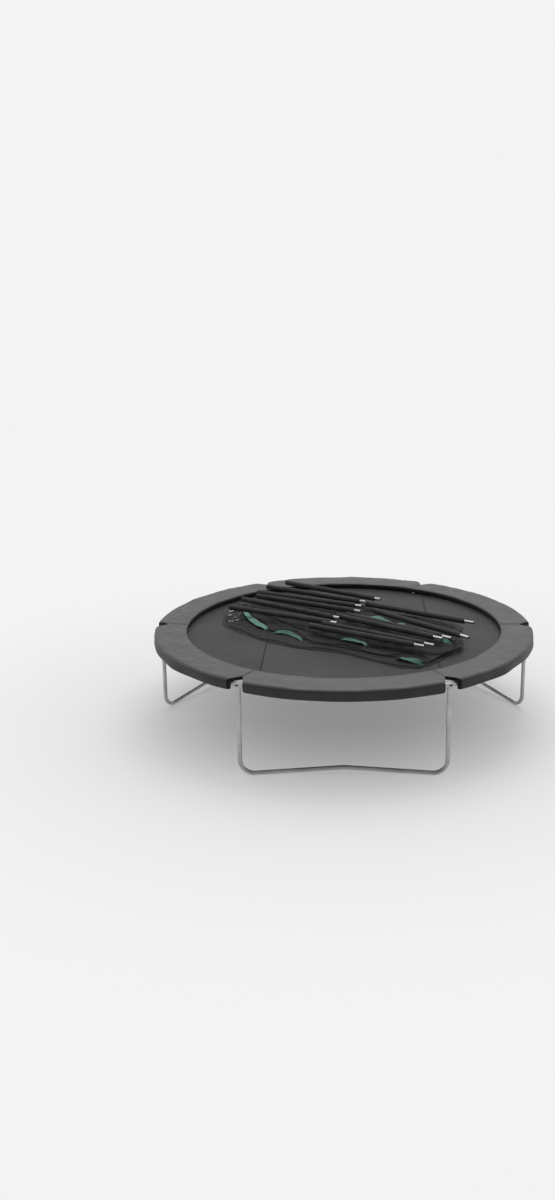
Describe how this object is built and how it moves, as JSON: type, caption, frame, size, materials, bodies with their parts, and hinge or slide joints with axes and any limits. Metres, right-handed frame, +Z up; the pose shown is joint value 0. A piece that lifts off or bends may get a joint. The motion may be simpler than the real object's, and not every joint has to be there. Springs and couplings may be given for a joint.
{
  "type": "garden trampoline",
  "caption": "Round garden trampoline on three W-shaped steel legs with padded rim, sprung mat, and loose foam-sleeved enclosure poles and folded net lying on it.",
  "frame": {"origin": "on the floor, below the middle of the mat", "axes": "+Z up; the front, with one W-shaped leg across it, faces -Y; +X to the right seen from the front"},
  "size_m": [2.4376, 2.4398, 0.6429],
  "materials": {
    "galvanised_tube": "galvanised, satin",
    "zinc_fastener": "zinc plated, satin",
    "spring_steel": "zinc plated, satin",
    "mat_mesh": "woven polypropylene, matt",
    "webbing": "woven polypropylene webbing, matt",
    "pad_vinyl": "coated fabric over foam, matt, lightly creased",
    "elastic": "woven elastic, matt",
    "sleeve_foam": "closed-cell foam, matt",
    "net_mesh": "knitted netting, matt",
    "net_band": "woven band, matt"
  },
  "bodies": {
    "frame": {"ring_tube_1": "galvanised_tube", "ring_tube_2": "galvanised_tube", "ring_tube_3": "galvanised_tube", "ring_tube_4": "galvanised_tube", "ring_tube_5": "galvanised_tube", "ring_tube_6": "galvanised_tube", "leg_socket_1": "galvanised_tube", "leg_socket_2": "galvanised_tube", "leg_socket_3": "galvanised_tube", "leg_socket_4": "galvanised_tube", "leg_socket_5": "galvanised_tube", "leg_socket_6": "galvanised_tube", "w_leg_front": "galvanised_tube", "w_leg_right": "galvanised_tube", "w_leg_left": "galvanised_tube", "socket_screws": "zinc_fastener", "springs": "spring_steel", "pad_1": "pad_vinyl", "pad_2": "pad_vinyl", "pad_3": "pad_vinyl", "pad_4": "pad_vinyl", "pad_5": "pad_vinyl", "pad_6": "pad_vinyl", "pad_straps": "elastic"},
    "mat": {"jump_mat": "mat_mesh", "mat_hem": "webbing", "v_rings": "spring_steel"},
    "net": {"net_bundle": "net_mesh", "net_band": "net_band", "net_hooks": "zinc_fastener"},
    "button_1": {"snap_button_1": "zinc_fastener"},
    "button_2": {"snap_button_2": "zinc_fastener"},
    "button_3": {"snap_button_3": "zinc_fastener"},
    "button_4": {"snap_button_4": "zinc_fastener"},
    "button_5": {"snap_button_5": "zinc_fastener"},
    "button_6": {"snap_button_6": "zinc_fastener"},
    "upper_pole_body_1": {"upper_pole_1": "galvanised_tube", "upper_sleeve_1": "sleeve_foam"},
    "upper_pole_body_2": {"upper_pole_2": "galvanised_tube", "upper_sleeve_2": "sleeve_foam"},
    "upper_pole_body_3": {"upper_pole_3": "galvanised_tube", "upper_sleeve_3": "sleeve_foam"},
    "upper_pole_body_4": {"upper_pole_4": "galvanised_tube", "upper_sleeve_4": "sleeve_foam"},
    "upper_pole_body_5": {"upper_pole_5": "galvanised_tube", "upper_sleeve_5": "sleeve_foam"},
    "upper_pole_body_6": {"upper_pole_6": "galvanised_tube", "upper_sleeve_6": "sleeve_foam"},
    "lower_pole_body_1": {"lower_pole_1": "galvanised_tube", "lower_sleeve_1": "sleeve_foam"},
    "lower_pole_body_2": {"lower_pole_2": "galvanised_tube", "lower_sleeve_2": "sleeve_foam"},
    "lower_pole_body_3": {"lower_pole_3": "galvanised_tube", "lower_sleeve_3": "sleeve_foam"},
    "lower_pole_body_4": {"lower_pole_4": "galvanised_tube", "lower_sleeve_4": "sleeve_foam"},
    "lower_pole_body_5": {"lower_pole_5": "galvanised_tube", "lower_sleeve_5": "sleeve_foam"},
    "lower_pole_body_6": {"lower_pole_6": "galvanised_tube", "lower_sleeve_6": "sleeve_foam"}
  },
  "joints": [
    {"name": "mat_bounce", "type": "slide", "parent": "frame", "child": "mat", "axis": [0, 0, 1], "range_m": [-0.2, 0], "stiffness_N_per_m": 6000, "springref_m": 0.05, "deforming": ["springs"]},
    {"name": "net_lift", "type": "slide", "parent": "mat", "child": "net", "axis": [0, 0, 1], "range_m": [0, 0.3]},
    {"name": "upper_pole_1_lift", "type": "slide", "parent": "net", "child": "upper_pole_body_1", "axis": [0, 0, 1], "range_m": [0, 0.3]},
    {"name": "upper_pole_2_lift", "type": "slide", "parent": "net", "child": "upper_pole_body_2", "axis": [0, 0, 1], "range_m": [0, 0.3]},
    {"name": "upper_pole_3_lift", "type": "slide", "parent": "net", "child": "upper_pole_body_3", "axis": [0, 0, 1], "range_m": [0, 0.3]},
    {"name": "upper_pole_4_lift", "type": "slide", "parent": "net", "child": "upper_pole_body_4", "axis": [0, 0, 1], "range_m": [0, 0.3]},
    {"name": "upper_pole_5_lift", "type": "slide", "parent": "net", "child": "upper_pole_body_5", "axis": [0, 0, 1], "range_m": [0, 0.3]},
    {"name": "upper_pole_6_lift", "type": "slide", "parent": "net", "child": "upper_pole_body_6", "axis": [0, 0, 1], "range_m": [0, 0.3]},
    {"name": "lower_pole_1_lift", "type": "slide", "parent": "net", "child": "lower_pole_body_1", "axis": [0, 0, 1], "range_m": [0, 0.3]},
    {"name": "lower_pole_2_lift", "type": "slide", "parent": "net", "child": "lower_pole_body_2", "axis": [0, 0, 1], "range_m": [0, 0.3]},
    {"name": "lower_pole_3_lift", "type": "slide", "parent": "net", "child": "lower_pole_body_3", "axis": [0, 0, 1], "range_m": [0, 0.3]},
    {"name": "lower_pole_4_lift", "type": "slide", "parent": "net", "child": "lower_pole_body_4", "axis": [0, 0, 1], "range_m": [0, 0.3]},
    {"name": "lower_pole_5_lift", "type": "slide", "parent": "net", "child": "lower_pole_body_5", "axis": [0, 0, 1], "range_m": [0, 0.3]},
    {"name": "lower_pole_6_lift", "type": "slide", "parent": "net", "child": "lower_pole_body_6", "axis": [0, 0, 1], "range_m": [0, 0.3]},
    {"name": "button_1_press", "type": "slide", "parent": "frame", "child": "button_1", "axis": [-1, 0, 0], "range_m": [0, 0.005], "stiffness_N_per_m": 800, "springref_m": -0.004},
    {"name": "button_2_press", "type": "slide", "parent": "frame", "child": "button_2", "axis": [1, 0, 0], "range_m": [0, 0.005], "stiffness_N_per_m": 800, "springref_m": -0.004},
    {"name": "button_3_press", "type": "slide", "parent": "frame", "child": "button_3", "axis": [0.5, -0.866, 0], "range_m": [0, 0.005], "stiffness_N_per_m": 800, "springref_m": -0.004},
    {"name": "button_4_press", "type": "slide", "parent": "frame", "child": "button_4", "axis": [-0.5, 0.866, 0], "range_m": [0, 0.005], "stiffness_N_per_m": 800, "springref_m": -0.004},
    {"name": "button_5_press", "type": "slide", "parent": "frame", "child": "button_5", "axis": [0.5, 0.866, 0], "range_m": [0, 0.005], "stiffness_N_per_m": 800, "springref_m": -0.004},
    {"name": "button_6_press", "type": "slide", "parent": "frame", "child": "button_6", "axis": [-0.5, -0.866, 0], "range_m": [0, 0.005], "stiffness_N_per_m": 800, "springref_m": -0.004}
  ]
}
